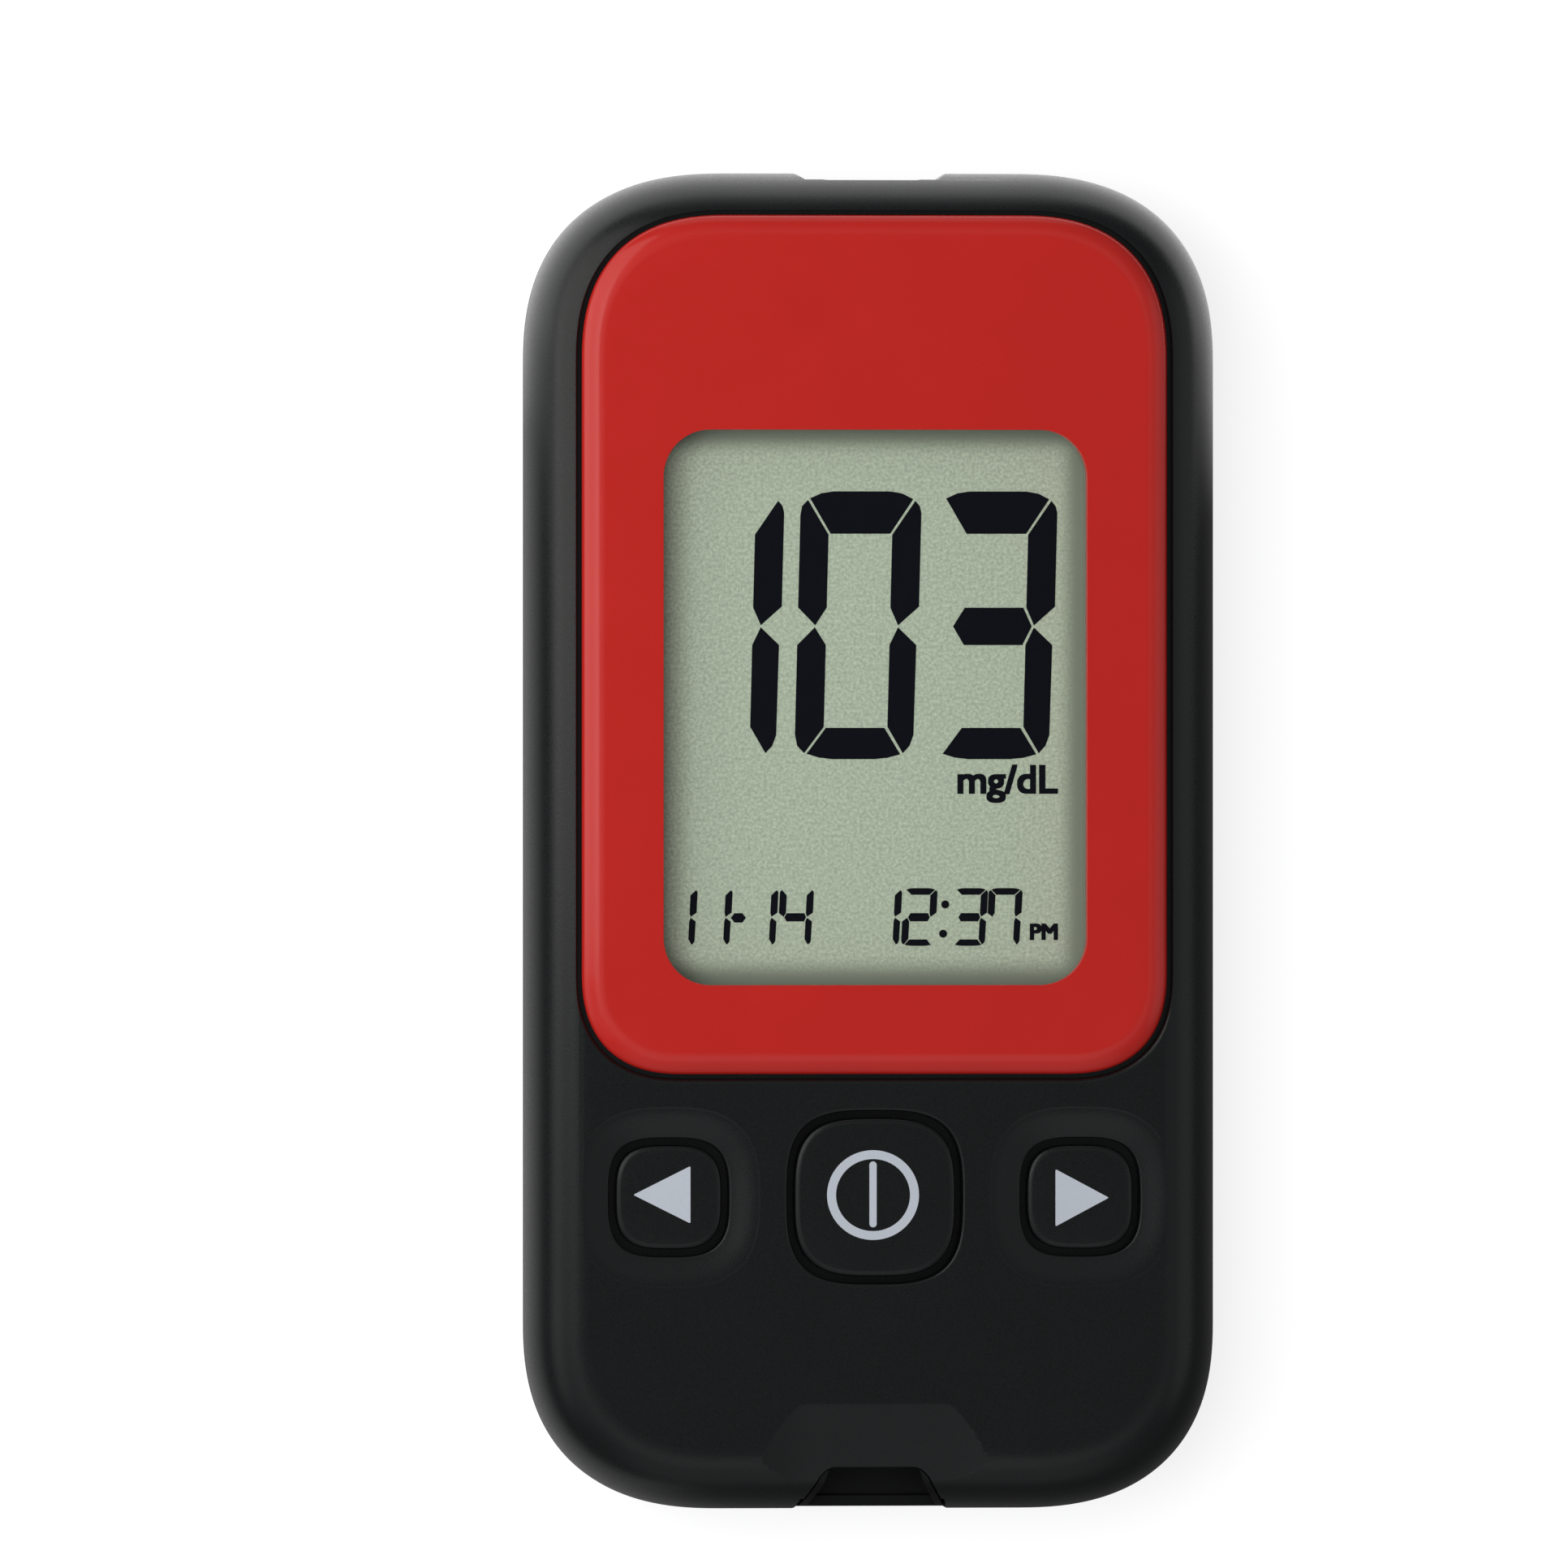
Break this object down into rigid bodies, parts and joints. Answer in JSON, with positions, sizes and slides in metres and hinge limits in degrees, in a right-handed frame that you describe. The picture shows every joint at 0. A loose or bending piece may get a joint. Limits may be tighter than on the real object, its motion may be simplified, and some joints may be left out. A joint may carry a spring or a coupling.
{
  "type": "blood glucose meter",
  "caption": "Hand-held blood glucose meter with a soft-cornered two-part case, glossy face panel, display, sprung keys, strip port, data socket and a sliding battery cover.",
  "frame": {"origin": "centre of the flat back, on the surface the meter lies on", "axes": "+Z out of the display, +Y along the length towards the data socket end, +X to the right of someone reading the display"},
  "size_m": [0.0518, 0.1002, 0.016],
  "materials": {
    "case_front": "fine moulded texture",
    "case_back": "fine moulded texture",
    "red_panel": "high gloss",
    "clear_lens": "clear polished acrylic",
    "foam": "fine foam",
    "display": "satin polariser film on glass",
    "reflector": "satin film",
    "white_plastic": "moulded",
    "pink_rubber": "striped silicone",
    "board": "solder mask over glass laminate",
    "chip_black": "moulded epoxy",
    "plated_steel": "nickel plated",
    "ceramic_tan": "fired ceramic",
    "sensor_blue": "coated bead",
    "port_plastic": "moulded",
    "gold_plate": "gold plated spring strip",
    "silicone": "moulded silicone",
    "key_plastic": "fine satin",
    "carbon_rubber": "conductive rubber",
    "cell_steel": "bright drawn steel",
    "spring_metal": "plated spring strip"
  },
  "bodies": {
    "case": {"front_case": "case_front", "rear_case": "case_back", "face_panel": "red_panel", "display_window": "clear_lens", "dust_gasket": "foam", "display_glass": "display", "display_reflector": "reflector", "display_holder": "white_plastic", "rubber_connectors": "pink_rubber", "circuit_board": "board", "main_chip": "chip_black", "memory_chip": "chip_black", "quartz_crystal": "plated_steel", "board_components": "ceramic_tan", "temperature_sensor": "sensor_blue", "buzzer": "chip_black", "strip_port_insert": "port_plastic", "strip_connector": "white_plastic", "strip_contacts": "gold_plate", "socket_shell": "plated_steel", "socket_tongue": "port_plastic", "key_mat": "silicone", "coin_cells": "cell_steel", "plus_contacts": "spring_metal", "minus_contacts": "spring_metal", "case_screws": "plated_steel"},
    "left_arrow_key": {"left_key": "key_plastic", "left_pill": "carbon_rubber"},
    "middle_key": {"power_key": "key_plastic", "power_pill": "carbon_rubber"},
    "right_arrow_key": {"right_key": "key_plastic", "right_pill": "carbon_rubber"},
    "cover": {"battery_cover": "case_back"}
  },
  "joints": [
    {"name": "left_press", "type": "slide", "parent": "case", "child": "left_arrow_key", "axis": [0, 0, -1], "range_m": [0, 0.0007], "stiffness_N_per_m": 900, "deforming": ["key_mat"]},
    {"name": "power_press", "type": "slide", "parent": "case", "child": "middle_key", "axis": [0, 0, -1], "range_m": [0, 0.0007], "stiffness_N_per_m": 900, "deforming": ["key_mat"]},
    {"name": "right_press", "type": "slide", "parent": "case", "child": "right_arrow_key", "axis": [0, 0, -1], "range_m": [0, 0.0007], "stiffness_N_per_m": 900, "deforming": ["key_mat"]},
    {"name": "cover_slide", "type": "slide", "parent": "case", "child": "cover", "axis": [0, 1, 0], "range_m": [0, 0.008]}
  ]
}
